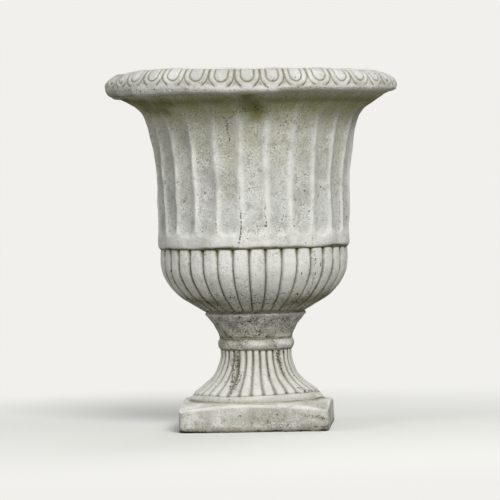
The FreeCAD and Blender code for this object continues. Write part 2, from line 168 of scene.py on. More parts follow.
def cast_stone(name, pale, dull, grime, dirt_and_shade="#5F583F", sand="#6F6B5F", grain=2.4, speckle=0.5, blotch=0.3,
               mottle=34.0, hole_gap=6.0, bump=0.9):
    """Cast stone under weather, from Object coordinates and the marks on the mesh; sizes in millimetres.

    Pale and dull are the stone's own tones, grime is the film on it, and the hollows take the dirt colour,
    which also paints shade in narrow cuts and under ledges. Grain is the size of the sand, and mottle that of
    the patches.
    Speckle and blotch say how strongly the sand and the blotches show.
    """
    material = bpy.data.materials.new(name)
    tree = new_tree(material)
    place = node(tree, "ShaderNodeTexCoord", output="Object")

    # The sand and the air holes are thick in some patches and thin in others
    thick = node(tree, "ShaderNodeTexNoise", {0: place, "Scale": 1 / (17 * MM), "Detail": 2.0}, "Fac")
    patches = node(tree, "ShaderNodeMapRange", {0: thick, 1: 0.40, 2: 0.62, 3: 0.35, 4: 1.0})
    # Each coat covers a share of the stone that runs from least to most as its noise runs from low to high.
    # A coat that has a mark shows only where the mesh carries that mark.
    colour = linear(dull)
    for mark, size, shift, low, high, least, most, paint in (
        # Uneven curing and weather leave soft patches a few centimetres wide
        (None, mottle, 0.0, 0.36, 0.62, 0.0, 1.0, pale),
        # Blotches of a centimetre break up the even tone of each face
        (None, 8.0, 6.1, 0.48, 0.70, 0.0, blotch, "#8A8778"),
        # Rain washes an olive film from the ledges
        ("stain", 16.0, 1.3, 0.30, 0.62, 0.70, 1.0, grime),
        # The sand in the mix shows as dark and light grains. Real ones are up to a millimetre wide, and these
        # are drawn at about two, so that they show.
        ("patches", grain, 0.37, 0.50, 0.66, 0.0, speckle, sand),
        ("patches", grain, 0.37, 0.46, 0.34, 0.0, speckle * 0.5, "#F3F3EE"),
        # Worn edges are rubbed paler and smoother than the faces between them; on some ridges and ledges the
        # same coat is a painted highlight
        ("crest", 26.0, 4.7, 0.34, 0.60, 0.25, 0.90, "#E6E5DF"),
        # Dirt sits in the hollows, thicker in some places than in others; in narrow cuts and under ledges the
        # same coat is painted shade
        ("hollow", 9.0, 2.1, 0.28, 0.55, 0.65, 1.0, dirt_and_shade),
    ):
        moved = node(tree, "ShaderNodeMapping", {0: place, 1: (shift, shift, shift)})
        cloud = node(tree, "ShaderNodeTexNoise", {0: moved, "Scale": 1 / (size * MM), "Detail": 4.0,
                                                  "Roughness": 0.6}, "Fac")
        share = node(tree, "ShaderNodeMapRange", {0: cloud, 1: low, 2: high, 3: least, 4: most},
                     interpolation_type="SMOOTHSTEP")
        if mark:
            here = patches if mark == "patches" else node(tree, "ShaderNodeAttribute", output="Fac",
                                                          attribute_name=mark)
            share = node(tree, "ShaderNodeMath", {0: share, 1: here}, operation="MULTIPLY")
        colour = node(tree, "ShaderNodeMix", {0: share, 6: colour, 7: linear(paint)}, 2, data_type="RGBA")

    # Air holes of the casting, one to two millimetres wide: six cells in ten have one, and the widest takes
    # up half of its cell
    cells = node(tree, "ShaderNodeTexVoronoi", {0: place, "Scale": 1 / (hole_gap * MM)}).node.outputs
    luck = node(tree, "ShaderNodeSeparateColor", {0: cells["Color"]})
    reach = node(tree, "ShaderNodeMapRange", {0: luck, 1: 0.40, 2: 1.0, 3: 0.0, 4: 0.26})
    reach = node(tree, "ShaderNodeMath", {0: reach, 1: patches}, operation="MULTIPLY")
    inside = node(tree, "ShaderNodeMath", {0: reach, 1: cells["Distance"]}, operation="SUBTRACT")
    holes = node(tree, "ShaderNodeMapRange", {0: inside, 1: 0.0, 2: 0.06, 3: 0.0, 4: 0.85})
    colour = node(tree, "ShaderNodeMix", {0: holes, 6: colour, 7: linear("#4A4436")}, 2, data_type="RGBA")
    # Black crust where water stands and lichen has died: specks that close up where the mark is strong
    crust = node(tree, "ShaderNodeAttribute", output="Fac", attribute_name="crust")
    specks = node(tree, "ShaderNodeTexNoise", {0: place, "Scale": 1 / (2.2 * MM), "Detail": 3.0,
                                               "Roughness": 0.7}, "Fac")
    cover = node(tree, "ShaderNodeMath", {0: crust, 1: 0.42, 2: specks}, operation="MULTIPLY_ADD")
    cover = node(tree, "ShaderNodeMapRange", {0: cover, 1: 0.715, 2: 0.80, 3: 0.0, 4: 0.9})
    colour = node(tree, "ShaderNodeMix", {0: cover, 6: colour, 7: linear("#332F27")}, 2, data_type="RGBA")

    # The sand stands up a little and the air holes are pits
    grit = node(tree, "ShaderNodeTexNoise", {0: place, "Scale": 1 / (grain * MM), "Detail": 4.0,
                                             "Roughness": 0.6}, "Fac")
    rise = node(tree, "ShaderNodeMath", {0: grit, 1: holes}, operation="SUBTRACT")
    relief = node(tree, "ShaderNodeBump", {"Strength": bump, "Distance": 1.2 * MM, "Height": rise})
    surface = node(tree, "ShaderNodeBsdfPrincipled", {"Base Color": colour, "Roughness": 0.93,
                                                      "Specular IOR Level": 0.35, "Normal": relief})
    node(tree, "ShaderNodeOutputMaterial", {0: surface})
    return material


def drawn_steel():
    """Drawn stainless bar: grey and satin, with fine lines along its length, drawn coarse enough to show."""
    material = bpy.data.materials.new("drawn stainless steel")
    tree = new_tree(material)
    stretched = node(tree, "ShaderNodeMapping", {0: node(tree, "ShaderNodeTexCoord", output="Object"),
                                                 3: (1.0, 1.0, 0.02)})
    lines = node(tree, "ShaderNodeTexNoise", {0: stretched, "Scale": 1 / (0.6 * MM)}, "Fac")
    gloss = node(tree, "ShaderNodeMapRange", {0: lines, 3: 0.28, 4: 0.42})
    surface = node(tree, "ShaderNodeBsdfPrincipled", {"Base Color": linear("#B9BABC"), "Metallic": 1.0,
                                                      "Roughness": gloss})
    node(tree, "ShaderNodeOutputMaterial", {0: surface})
    return material


# Making a carved ring

# The depths and sizes of a ring's uneven surface in millimetres, where a piece doesn't give its own
RING_SIZES = {"Swell depth": 0, "Swell size": 40, "Grain depth": 0, "Grain size": 4, "Pit depth": 0,
              "Pit size": 5, "Warp depth": 0, "Warp size": 50}


def ring_tree():
    """Repeats a sector round the axis, welds the sectors and gives the stone its uneven surface."""
    tree = bpy.data.node_groups.new("carved ring", "GeometryNodeTree")
    for name, kind in (("Sector", "Geometry"), ("Count", "Int"), ("Phase", "Float"), ("Seed", "Float"),
                       ("Stone", "Material"), *((size, "Float") for size in RING_SIZES)):
        tree.interface.new_socket(name, in_out="INPUT", socket_type="NodeSocket" + kind)
    tree.interface.new_socket("Ring", in_out="OUTPUT", socket_type="NodeSocketGeometry")
    given = node(tree, "NodeGroupInput").node.outputs

    step = node(tree, "ShaderNodeMath", {0: TURN, 1: given["Count"]}, operation="DIVIDE")
    turn = node(tree, "ShaderNodeMath", {0: node(tree, "GeometryNodeInputIndex"), 1: step, 2: given["Phase"]},
                operation="MULTIPLY_ADD")
    turned = node(tree, "FunctionNodeEulerToRotation", {0: node(tree, "ShaderNodeCombineXYZ", {"Z": turn})})
    copies = node(tree, "GeometryNodeInstanceOnPoints", {
        "Points": node(tree, "GeometryNodePoints", {"Count": given["Count"]}), "Instance": given["Sector"],
        "Rotation": turned,
    })
    whole = node(tree, "GeometryNodeRealizeInstances", {0: copies})
    weld = 0.004 * MM
    welded = node(tree, "GeometryNodeMergeByDistance", {"Geometry": whole, "Distance": weld})

    # The surface swells softly, is grainy, and has pits where the last noise is high. Each noise has a seed
    # of its own.
    rise, seed_step = 0.0, 5.0
    for number, (wave, low, high, least, most) in enumerate((
        ("Swell", 0.0, 1.0, -0.5, 0.5), ("Grain", 0.0, 1.0, -0.5, 0.5), ("Pit", 0.60, 0.74, 0.0, -1.0),
    )):
        density = node(tree, "ShaderNodeMath", {0: 1.0, 1: given[wave + " size"]}, operation="DIVIDE")
        seed = node(tree, "ShaderNodeMath", {0: given["Seed"], 1: seed_step * number}, operation="ADD")
        cloud = node(tree, "ShaderNodeTexNoise", {"W": seed, "Scale": density, "Detail": 2.0}, "Fac",
                     noise_dimensions="4D")
        share = node(tree, "ShaderNodeMapRange", {0: cloud, 1: low, 2: high, 3: least, 4: most})
        rise = node(tree, "ShaderNodeMath", {0: share, 1: given[wave + " depth"], 2: rise},
                    operation="MULTIPLY_ADD")
    push = node(tree, "ShaderNodeVectorMath", {0: node(tree, "GeometryNodeInputNormal"), "Scale": rise},
                operation="SCALE")
    # Handwork is never quite true: the lines wander sideways and up and down
    density = node(tree, "ShaderNodeMath", {0: 1.0, 1: given["Warp size"]}, operation="DIVIDE")
    sway = node(tree, "ShaderNodeTexNoise", {"W": given["Seed"], "Scale": density, "Detail": 1.0}, "Color",
                noise_dimensions="4D")
    sway = node(tree, "ShaderNodeVectorMath", {0: sway, 1: (0.5, 0.5, 0.5)}, operation="SUBTRACT")
    sway = node(tree, "ShaderNodeVectorMath", {0: sway, "Scale": given["Warp depth"]}, operation="SCALE")
    push = node(tree, "ShaderNodeVectorMath", {0: push, 1: sway}, operation="ADD")
    rough = node(tree, "GeometryNodeSetPosition", {"Geometry": welded, "Offset": push})
    smooth = node(tree, "GeometryNodeSetShadeSmooth", {"Geometry": rough})
    stone = node(tree, "GeometryNodeSetMaterial", {"Geometry": smooth, "Material": given["Stone"]})
    node(tree, "NodeGroupOutput", {0: stone})
    return tree


def smooth_line(points, spacing):
    """Evenly spaced (radius, height) points on a smooth curve through the given ones."""
    points = np.array(points, float)
    before, after = np.vstack([points[:1], points[:-2]]), np.vstack([points[2:], points[-1:]])
    share = np.linspace(0, 1, 24, endpoint=False)[:, None]
    runs = []
    for a, b, c, d in zip(before, points[:-1], points[1:], after):
        runs.append(0.5 * (2 * b + (c - a) * share + (2 * a - 5 * b + 4 * c - d) * share ** 2
                           + (3 * b - a - 3 * c + d) * share ** 3))
    dense = np.vstack(runs + [points[-1:]])
    walked = np.concatenate([[0], np.cumsum(np.hypot(*np.diff(dense, axis=0).T))])
    steps = np.linspace(0, walked[-1], max(2, round(walked[-1] / spacing) + 1))
    return np.column_stack([np.interp(steps, walked, dense[:, i]) for i in (0, 1)])


def loop_of(*stretches):
    """One closed outline from stretches of (points, spacing), without doubled points."""
    loop = np.vstack([smooth_line(points, spacing) for points, spacing in stretches])
    return loop[np.hypot(*(loop - np.roll(loop, 1, axis=0)).T) > 1e-6]


def outward(loop):
    """The direction out of the stone at each point of a closed outline."""
    ahead = np.roll(loop, -1, axis=0) - np.roll(loop, 1, axis=0)
    normal = np.column_stack([ahead[:, 1], -ahead[:, 0]])
    return normal / np.hypot(*normal.T)[:, None]


def step_up(low, high, value):
    """0 up to low and 1 from high on, with a soft step between them."""
    share = np.clip((value - low) / (high - low), 0, 1)
    return share * share * (3 - 2 * share)


def ridge(distance, width):
    """1 on a line, falling softly to 0 at about twice the width from it."""
    return np.exp(-(distance / width) ** 2)


def sector(name, loop, count, columns, carve):
    """One of count sectors of a ring: the outline, so many columns wide, sunk by what carve says."""
    across = np.linspace(-0.5, 0.5, columns + 1)[None, :]
    radius, height = loop[:, :1], loop[:, 1:]
    sink, marks = carve(across, radius, height)
    normal = outward(loop)
    radius = radius - sink * normal[:, :1]
    height = height - sink * normal[:, 1:]
    return sector_mesh(name, radius, height, across * TURN / count, marks)


def sector_mesh(name, radius, height, angle, marks):
    """Quads over rows round the closed outline and columns round the axis, with the marks on their points."""
    rows, columns = radius.shape[0], angle.shape[1]
    spots = np.stack(np.broadcast_arrays(radius * np.cos(angle), radius * np.sin(angle), height), axis=-1)
    row, column = np.meshgrid(np.arange(rows), np.arange(columns - 1), indexing="ij")
    above = (row + 1) % rows
    quads = np.stack([row * columns + column, row * columns + column + 1,
                      above * columns + column + 1, above * columns + column], axis=-1)
    mesh = bpy.data.meshes.new(name)
    mesh.vertices.add(rows * columns)
    mesh.vertices.foreach_set("co", (spots.reshape(-1, 3) * MM).astype(np.float32).ravel())
    mesh.loops.add(quads.size)
    mesh.loops.foreach_set("vertex_index", quads.ravel().astype(np.int32))
    mesh.polygons.add(quads.size // 4)
    mesh.polygons.foreach_set("loop_start", np.arange(0, quads.size, 4, dtype=np.int32))
    mesh.update(calc_edges=True)
    for mark in MARKS:
        values = np.broadcast_to(marks.get(mark, 0.0), (rows, columns)).astype(np.float32)
        mesh.attributes.new(mark, "FLOAT", "POINT").data.foreach_set("value", np.clip(values, 0, 1).ravel())
    mesh.validate()
    return mesh


def ring(name, mesh, stone, count=PLAIN_SECTORS, phase=0.0, seed=0, **sizes):
    """The whole ring as a plain mesh, from the sector and the ring tree; sizes are in millimetres."""
    piece = bpy.data.objects.new(name, mesh)
    bpy.context.collection.objects.link(piece)
    modifier = piece.modifiers.new("ring", "NODES")
    modifier.node_group = RING
    own_sizes = {key.replace("_", " ").capitalize(): value for key, value in sizes.items()}
    values = {key: value * MM for key, value in {**RING_SIZES, **own_sizes}.items()}
    values.update({"Count": count, "Phase": math.radians(phase), "Seed": float(seed), "Stone": stone})
    for item in RING.interface.items_tree:
        if item.in_out == "INPUT" and item.name in values:
            modifier[item.identifier] = values[item.name]
    graph = bpy.context.evaluated_depsgraph_get()
    baked = bpy.data.meshes.new_from_object(piece.evaluated_get(graph), preserve_all_data_layers=True,
                                            depsgraph=graph)
    piece.modifiers.clear()
    piece.data = baked
    return piece


def weather(piece, strokes, dents=(), moves=(), beyond=0.0):
    """Wears a piece by strokes, dents and moves, each with its start, its end and its width.

    A place is degrees right of the front and a height, and all sizes are in millimetres. Strokes are listed
    by the mark they leave, and end with a strength. Dents end with a depth. A move also has how far it shifts
    the stone sideways and up, a height where it hasn't begun and one where it is complete. Dents and moves
    begin beyond a radius.
    """
    mesh = piece.data

    def read(items, name, size):
        """So many numbers of each item, as an array."""
        values = np.empty(len(items) * size, np.float32)
        items.foreach_get(name, values)
        return values.reshape(-1, size)

    spots = read(mesh.vertices, "co", 3) / MM
    radius = np.hypot(spots[:, 0], spots[:, 1])
    turn = np.degrees(np.arctan2(spots[:, 1], spots[:, 0])) - FRONT
    turn = (turn + 180) % 360 - 180

    def away(start, end):
        """Millimetres over the surface from a stroke."""
        x, z = np.radians(turn - start[0]) * radius, spots[:, 2] - start[1]
        dx, dz = np.radians(end[0] - start[0]) * radius, end[1] - start[1]
        share = np.clip((x * dx + z * dz) / (dx ** 2 + dz ** 2 + 1e-9), 0, 1)
        return np.hypot(x - share * dx, z - share * dz)

    for mark, lines in strokes.items():
        values = read(mesh.attributes[mark].data, "value", 1)[:, 0]
        for start, end, width, strength in lines:
            values = np.maximum(values, strength * ridge(away(start, end), width))
        mesh.attributes[mark].data.foreach_set("value", values.astype(np.float32))
    mesh.update()
    normals = read(mesh.vertex_normals, "vector", 3)
    growth = 10
    far = step_up(beyond, beyond + growth, radius)
    for start, end, width, depth in dents:
        spots = spots - normals * (depth * far * ridge(away(start, end), width))[:, None]
    for start, end, width, sideways, up, low, high in moves:
        share = ridge(away(start, end), width) * step_up(low, high, spots[:, 2]) * far
        turned = np.arctan2(spots[:, 1], spots[:, 0]) + sideways * share / radius
        reach = np.hypot(spots[:, 0], spots[:, 1])
        spots = np.column_stack([reach * np.cos(turned), reach * np.sin(turned), spots[:, 2] + up * share])
    # The underside stays on the floor
    spots[:, 2] = np.maximum(spots[:, 2], 0)
    mesh.vertices.foreach_set("co", (spots * MM).astype(np.float32).ravel())
    mesh.update()


def dress(piece, slot, *nodes):
    """Puts a piece in the frame, in place of the solids that it stands for."""
    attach(piece, "root")
    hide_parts(*nodes)


def plain(across, radius, height):
    """A ring that isn't carved."""
    return 0 * radius * across, {}


# Rim

RIM_LOOP = loop_of(
    ([(141, 422.2), (150, 422.2), (160, 421.8)], 5),
    ([(160, 421.8), (168, 420.4), (173, 419.8)], 2),
    ([(173, 419.8), (178.6, 420.3), (182, 421.9), (184, 424.4), (184.9, 427.6)], 1.2),
    ([(184.9, 427.6), (185, 431.8), (184.2, 435.5), (182, 440.6), (177.4, 445.7), (171.5, 448.9),
      (165, 450)], 0.85),
    ([(165, 450), (159, 450.2)], 1.5),
    ([(159, 450.2), (150, 450), (144.4, 449.8)], 4),
    ([(144.4, 449.8), (141.4, 448.6), (140, 446)], 1.4),
    ([(140, 446), (140, 434), (140, 423.5)], 5),
)


def carve_rim(across, radius, height):
    """Eggs in U-shaped borders, and darts between the borders, on the quarter-round lip."""
    # Millimetres from the middle of the egg, and up the lip from the lower end of its curve
    half_cell = 16.1
    side = np.abs(2 * across) * half_cell
    lip_curve, curve_foot, curve_middle = 19.5, 430.0, 165.0
    over_foot = height - curve_foot
    rise = np.where(over_foot > 0, lip_curve * np.arctan2(over_foot, radius - curve_middle), over_foot)
    lip = step_up(157, 163, radius) * step_up(424.5, 427.5, height)
    # An egg and its border are each a U: an arch upside down below straight sides
    egg_half, egg_arch, egg_spring = 8.5, 9.2, 11.6
    border_arch, border_spring = 15.5, 10.3
    under_egg, under_border = np.minimum(rise - egg_spring, 0), np.minimum(rise - border_spring, 0)
    from_egg = (np.hypot(side / egg_half, under_egg / egg_arch) - 1) * egg_half
    from_border = (np.hypot(side / half_cell, under_border / border_arch) - 1) * half_cell
    border_ends = step_up(5.0, 9.0, side) + step_up(4, 7, rise)
    egg_line = ridge(from_egg, 0.95)
    border_line = ridge(from_border + 0.5, 1.0) * np.clip(border_ends, 0, 1)
    dart = step_up(0.6, 2.4, from_border) * step_up(-3.5, 0.5, rise)
    carving_top = 22.6
    edge = step_up(carving_top, carving_top + 1.6, rise)
    top_line = ridge(rise - carving_top, 0.7)
    egg = step_up(-1.0, -5.0, from_egg)
    rib = ridge(from_egg - 3.6, 2.3) * (1 - dart)
    carved = lip * (1 - edge)
    sink = carved * (1.1 * egg_line + 1.05 * border_line + 0.9 * dart + 0.4 * top_line
                     - 0.35 * egg - 0.3 * rib + 0.3)
    # The carved lines are darkened: dirt, with painted shade in the narrow cuts
    hollow = carved * (0.80 * egg_line + 0.87 * border_line + 0.3 * top_line)
    below = step_up(425, 421, height)
    stain = carved * (0.75 * dart + 0.25 * rib + 0.03) + below * (0.15 + 0.45 * step_up(178, 168, radius))
    crest = lip * (0.05 * egg + 0.3 * rib + 0.9 * edge)
    # A painted highlight along the round foot of the lip, weaker on the darts
    lit_foot = ridge(height - 426.5, 3.0) * step_up(176, 183, radius)
    crest = crest + 0.60 * lit_foot * (1 - 0.6 * dart)
    return sink, {"hollow": hollow, "crest": crest, "stain": stain}


# Bell

BELL_OUTSIDE = [
    (117, 229), (119.8, 229.4), (121.1, 231.2), (121.6, 235), (121.4, 250), (121.2, 282), (122.6, 318),
    (125.7, 349), (130.2, 375), (135.8, 389.7), (143.2, 400.2), (156.4, 411), (164.5, 415.9), (173.6, 421.8),
]
BELL_LOOP = loop_of(
    ([(94, 229), (105, 229), (117, 229)], 4),
    (BELL_OUTSIDE, 1.75),
    ([(173.6, 421.8), (156, 421.4), (140, 420.8)], 8),
    ([(140, 420.8), (128.3, 410), (119.9, 400), (113.3, 390), (105.9, 375), (98.8, 336), (97.1, 300),
      (95.4, 260), (94, 230)], 7),
)


def carve_bell(across, radius, height):
    """Wide shallow flutes with soft ridges between them, above a plain band."""
    flute_depth, foot_top, foot_length, band_edge = 4.2, 259, 16.0, (254, 240)
    middle_of_wall = np.interp(height, [228, 300, 360, 400, 410, 425], [106, 109, 113, 130, 140, 165])
    outside = step_up(0, 1, radius - middle_of_wall)
    share = np.abs(2 * across)
    # 0 in the middle of a flute and 1 at its edge, which goes round its foot
    foot = np.clip((foot_top - height) / foot_length, 0, 3)
    reach = (share ** 2.4 + foot ** 2.8) ** (1 / 2.4)
    # Flat in the middle of the flute, then steep, then soft at its edge
    hollowed = np.clip(1 - reach ** 2.5, 0, 1)
    hollowed = 1.18 * hollowed ** 2 / (hollowed + 0.18)
    fade = step_up(416, 370, height)
    sink = outside * flute_depth * hollowed * fade
    # The ridges and the band are rubbed paler, and on the ridges this is partly a painted highlight
    ridges = step_up(0.55, 0.93, reach) * step_up(402, 330, height)
    band = step_up(*band_edge, height)
    crest = outside * np.maximum(0.88 * ridges, 0.85 * band)
    shelter = step_up(378, 405, height) * (1 - 0.55 * step_up(413, 419, height))
    stain = outside * (0.32 * step_up(290, 375, height) * (0.3 + 0.7 * hollowed) + 0.52 * shelter)
    # The flare just under the lip is darkened: dirt, with painted shade from the lip's overhang
    under_lip_dirt_and_shade = ridge(height - 410.0, 4.4)
    hollow = outside * (0.4 * step_up(230.6, 229.2, height) + 0.46 * under_lip_dirt_and_shade)
    return sink, {"hollow": hollow, "crest": crest, "stain": stain}


# Bowl

BOWL_OUTSIDE = [
    (62.6, 147.4), (65.4, 148.4), (77.6, 155.7), (93.9, 165.9), (104.3, 176.1), (111.6, 186.3),
    (116.4, 196.4), (118.4, 206.6), (118.6, 215), (118.4, 223), (118.1, 227.2), (117.2, 228.5),
]
BOWL_LOOP = loop_of(
    ([(BORE, 147.4), (40, 147.4), (62.6, 147.4)], 6),
    (BOWL_OUTSIDE, 1.25),
    ([(117.2, 228.5), (105, 228.3), (95, 228)], 4),
    ([(95, 228), (94.6, 215), (85.9, 200), (74.6, 190), (67.4, 185), (49, 175), (40, 171.2)], 4),
    ([(40, 171.2), (25, 171.2), (BORE, 171.2)], 5),
    ([(BORE, 171.2), (BORE, 160), (BORE, 149)], 6),
)


def carve_bowl(across, radius, height):
    """Convex gadroons with narrow grooves, rounded off under the bell."""
    outline = np.array(BOWL_OUTSIDE)
    outer_radius = np.interp(height, outline[:, 1], outline[:, 0])
    outside = step_up(-6, -4, radius - outer_radius) * step_up(62.6, 64.5, radius)
    # Millimetres from the groove beside a gadroon, and the bowl's girth there as a share of its widest
    share = np.abs(2 * across)
    gap = (1 - share) * radius * math.pi / GADROONS
    girth = radius / 118
    top = step_up(214, 228, height)
    gadroon_round, groove_depth = 1.9, 1.2
    sink = outside * girth * (gadroon_round * share ** 4.0 + groove_depth * ridge(gap, 0.9))
    # The dirt in a groove spreads out under the bell
    width = 0.62 + 1.5 * top ** 1.8 + 0.25 * girth
    hollow = 0.92 * ridge(gap, width) * (1 - 0.3 * top) + 0.35 * step_up(227.2, 228.3, height)
    hollow = np.maximum(hollow, 0.7 * step_up(152, 147.5, height))
    stain = 0.30 * ridge(gap, 2.6) + 0.22 * step_up(166, 150, height)
    stain = stain + 0.9 * top * ridge(gap, 0.9 + 3.0 * top)
    crest = 0.72 * step_up(0.95, 0.60, share) * step_up(160, 178, height)
    crust = 0.42 * step_up(198, 160, height)
    marks = {"hollow": hollow, "crest": crest, "stain": stain, "crust": crust}
    return sink, {mark: outside * value for mark, value in marks.items()}


# Foot

DISC_OUTSIDE = [(84.6, 36), (85.2, 37.4), (84.6, 39.8), (82.2, 43.2), (80.9, 44.9), (80, 45.5)]
REED_OUTSIDE = [
    (80, 45.5), (79, 48.2), (74.6, 51.2), (63.8, 59.1), (53.6, 69.3), (48.3, 79.5), (45.4, 89.6),
    (45, 97.4), (44.7, 99),
]
FOOT_LOOP = loop_of(
    ([(BORE, 36), (45, 36), (84.6, 36)], 7),
    (DISC_OUTSIDE, 0.9),
    (REED_OUTSIDE, 0.9),
    ([(44.7, 99), (30, 99), (BORE, 99)], 5),
    ([(BORE, 99), (BORE, 68), (BORE, 38)], 8),
)


def carve_foot(across, radius, height):
    """Convex reeds that end on a plain round disc."""
    outline = np.array(REED_OUTSIDE)
    outer_radius = np.interp(height, outline[:, 1], outline[:, 0])
    outside = step_up(-5, -3, radius - outer_radius) * step_up(45.3, 46.2, height)
    share = np.abs(2 * across)
    gap = (1 - share) * radius * math.pi / REEDS
    # Toward its lower end a reed is rounded off to a nose, and the groove beside it opens out
    nose = step_up(51.5, 46.2, height)
    roundness, groove_depth = 0.024 * radius, 1.0 + 1.3 * nose
    sink = outside * (roundness * share ** 2.4 + groove_depth * ridge(gap, 1.5 + 0.9 * nose)
                      + 1.2 * nose * share ** 3)
    # Toward the nose the dark of the groove widens and deepens: dirt, with painted shade between the rounded
    # noses
    width = 1.15 + 1.8 * nose ** 2 + 0.25 * step_up(65, 98, height)
    hollow = outside * ridge(gap, width) * (0.46 + 0.46 * step_up(58, 92, height) + 0.4 * nose)
    hollow = np.maximum(hollow, 0.62 * ridge(height - 45.5, 0.7) * step_up(76, 79, radius))
    stain = outside * 0.6 * ridge(gap, 2.4) + 0.30 * step_up(39, 36.5, height) * step_up(80, 83, radius)
    disc_edge = step_up(79.5, 81, radius) * step_up(38, 40, height)
    crest = 0.5 * outside * step_up(0.85, 0.4, share) + 0.3 * disc_edge
    return sink, {"hollow": hollow, "crest": crest, "stain": stain}


# Collar, neck and joints

COLLAR_LOOP = loop_of(
    ([(BORE, 99.8), (28, 99.8), (44.6, 99.8)], 5),
    ([(44.6, 99.8), (46.4, 100.6), (47.6, 102.8), (48.2, 106.4), (47.7, 110), (46.4, 112.4),
      (45, 113.4)], 0.8),
    ([(45, 113.4), (28, 113.4), (BORE, 113.4)], 5),
    ([(BORE, 113.4), (BORE, 106), (BORE, 101)], 4),
)
NECK_LOOP = loop_of(
    ([(BORE, 114.4), (30, 114.4), (45.4, 114.4)], 5),
    ([(45.4, 114.4), (46.2, 115.6), (47.6, 120.2), (52.8, 130.3), (56.7, 135.4), (61, 140.8), (63.4, 143.4),
      (63.9, 144.8), (63, 146)], 0.8),
    ([(63, 146), (35, 146), (BORE, 146)], 5),
    ([(BORE, 146), (BORE, 130), (BORE, 117)], 6),
)


def carve_neck(across, radius, height):
    """Not carved; its upper lip is rubbed pale and its lower end is dirty."""
    outside = step_up(44, 45.5, radius)
    hollow = outside * (0.45 * step_up(118.5, 114.8, height) + 0.35 * ridge(height - 146, 0.9))
    stain = outside * 0.45 * step_up(137, 122, height)
    crest = outside * ridge(height - 143.4, 1.9) * step_up(58, 61, radius)
    return 0 * radius * across, {"hollow": hollow, "stain": stain, "crest": crest}


def joint_loop(inner, outer, bottom, top):
    """The bed of mortar between two stones, rounded where it shows."""
    return loop_of(
        ([(inner, bottom), ((inner + outer) / 2, bottom), (outer - 1, bottom)], 5),
        ([(outer - 1, bottom), (outer, (bottom + top) / 2), (outer - 1, top)], 0.6),
        ([(outer - 1, top), ((inner + outer) / 2, top), (inner, top)], 5),
        ([(inner, top), (inner, (bottom + top) / 2), (inner, bottom + 0.3)], 1),
    )


# Plinth

def plinth_mesh():
    """A quarter of the square block, swept about the axis so that its rows run round the square."""
    half, corner, bottom_edge, edge, bed = 94.0, 5.0, 2.0, 2.6, 84
    middle_height, corner_fall, fall_start, fall_length = 34.8, 7.2, 89, 44
    columns = 120

    def top_height(radius):
        """The top is level under the foot and falls away to the corners."""
        return middle_height - corner_fall * np.clip((radius - fall_start) / fall_length, 0, 1)

    # How far out each direction goes: a straight side, and a round corner at its end
    angle = np.linspace(-math.pi / 4, math.pi / 4, columns + 1)[None, :]
    reach = half / np.cos(angle)
    flat = half - corner
    toward = np.abs(angle)
    middle = flat * (np.cos(toward) + np.sin(toward))
    spread = np.maximum(middle ** 2 - (2 * flat ** 2 - corner ** 2), 0)
    rounded = middle + np.sqrt(spread)
    reach = np.where(half * np.tan(toward) > flat, rounded, reach)
    side_height = top_height(reach)
    rows, marks = [], []

    def row(radius, height, **strength):
        """A line of points round the block, with the strength of each mark on it."""
        rows.append((radius + 0 * reach, height + 0 * reach))
        marks.append([strength.get(mark, 0.0) + 0 * reach for mark in MARKS])

    for share in np.linspace(0, 1, 12, endpoint=False):
        row(BORE + (reach - bottom_edge - BORE) * share, 0.0)
    for turn in np.radians(np.linspace(-90, 0, 4)):
        row(reach - bottom_edge * (1 - np.cos(turn)), bottom_edge * (1 + np.sin(turn)), stain=0.8, hollow=0.4)
    for share in np.linspace(0, 1, 18)[1:-1]:
        row(reach, bottom_edge + (side_height - edge - bottom_edge) * share,
            stain=0.75 * step_up(0.28, 0.0, share))
    for turn in np.radians(np.linspace(0, 90, 6)):
        row(reach - edge * (1 - np.cos(turn)), side_height - edge * (1 - np.sin(turn)), crest=0.8)
    outer = reach - edge
    for share in np.linspace(0, 1, 16)[1:]:
        radius = outer + (bed - outer) * share
        row(radius, top_height(radius), crest=0.35, hollow=0.35 * step_up(86.2, 85.2, radius),
            stain=0.35 * step_up(89, 86, radius))
    for share in np.linspace(0, 1, 10)[1:]:
        row(bed + (BORE - bed) * share, middle_height)
    for share in np.linspace(0, 1, 6)[1:-1]:
        row(BORE, middle_height * (1 - share))
    radius, height = (np.vstack([r[i] for r in rows]) for i in (0, 1))
    named = {mark: np.vstack([m[i] for m in marks]) for i, mark in enumerate(MARKS)}
    return sector_mesh("plinth quarter", radius, height, angle, named)


# Assembly

bpy.context.scene.view_settings.view_transform = "Standard"
make_camera()
make_studio()
RING = ring_tree()

# The lip is rubbed and washed by rain: smooth and pale, with soft olive lines of dirt and painted shade in
# the carving
rim_stone = cast_stone("cast stone, rubbed", "#C9C8C3", "#BDBCB5", "#959163", "#574F30", grain=2,
                       speckle=0.48, blotch=0.25, hole_gap=5.5)
# The bell is open and sandy: peppered grey flutes, a green film and painted shade in the shelter of the lip
bell_stone = cast_stone("cast stone, sandy", "#D0D0CC", "#BCBCB7", "#9D9B60", "#515319", grain=1.9,
                        speckle=0.8, blotch=0.5, hole_gap=4.4)
# The gadroons are smooth and nearly white, which makes the olive grooves between them look drawn
bowl_stone = cast_stone("cast stone, smooth", "#DADAD5", "#C8C8C1", "#7C7A52", "#565030", grain=2.3,
                        speckle=0.75, blotch=0.35, hole_gap=4.4)
# The neck is the coarsest: grey, with light and dark aggregate and open pits
neck_stone = cast_stone("cast stone, coarse", "#D6D5CE", "#A7A59C", "#8C886C", "#4A442E", sand="#45413A",
                        grain=2, speckle=1.35, blotch=0.55, mottle=11, hole_gap=5, bump=2.1)
